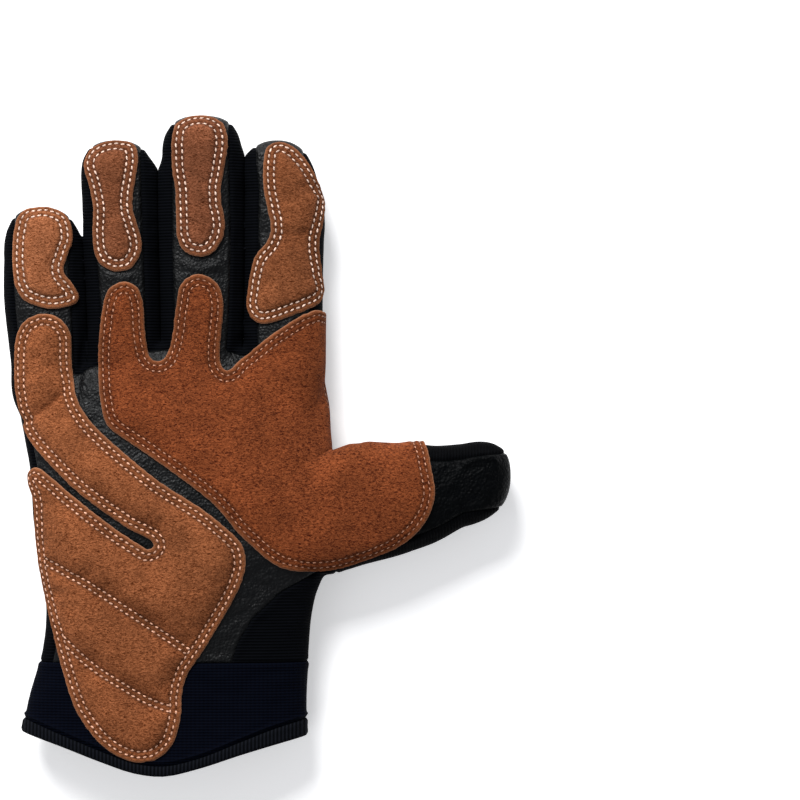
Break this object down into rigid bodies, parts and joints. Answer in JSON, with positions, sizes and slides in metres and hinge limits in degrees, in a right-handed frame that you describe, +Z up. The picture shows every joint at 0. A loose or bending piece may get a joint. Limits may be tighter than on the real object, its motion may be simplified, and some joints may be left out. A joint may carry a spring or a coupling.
{
  "type": "tactical glove",
  "caption": "Right-hand work glove of black leather and ribbed stretch fabric with stitched brown suede palm, heel and fingertip patches and a short knit cuff.",
  "frame": {"origin": "centre of the bounding box on the surface the glove lies on, back of the hand down", "axes": "+Y from the cuff towards the fingertips, +X towards the thumb, +Z up out of the palm"},
  "size_m": [0.1928, 0.2514, 0.0296],
  "materials": {
    "leather": "fine-grained goat leather with a low sheen",
    "stretch": "ribbed stretch fabric, matte",
    "knit": "close knit of a dark navy yarn, matte",
    "binding": "ribbed binding tape, matte",
    "suede": "brown split suede, matte nap",
    "suede_dark": "redder brown split suede, long matte nap"
  },
  "bodies": {
    "root": {"palm_leather": "leather", "back_fabric": "stretch", "ulnar_side_fabric": "stretch", "fourchette_little_ring": "stretch", "fourchette_ring_middle": "stretch", "fourchette_middle_index": "stretch", "index_side_fabric": "stretch", "wrist_side_fabric": "stretch", "thumb_leather": "leather", "thumb_back_fabric": "stretch", "thumb_outer_side": "stretch", "thumb_inner_side": "stretch", "cuff_knit": "knit", "cuff_hem": "binding", "patch_little_tip": "suede", "patch_ring_tip": "suede", "patch_middle_tip": "suede", "patch_index_tip": "suede", "patch_palm": "suede_dark", "patch_heel": "suede"}
  },
  "joints": []
}
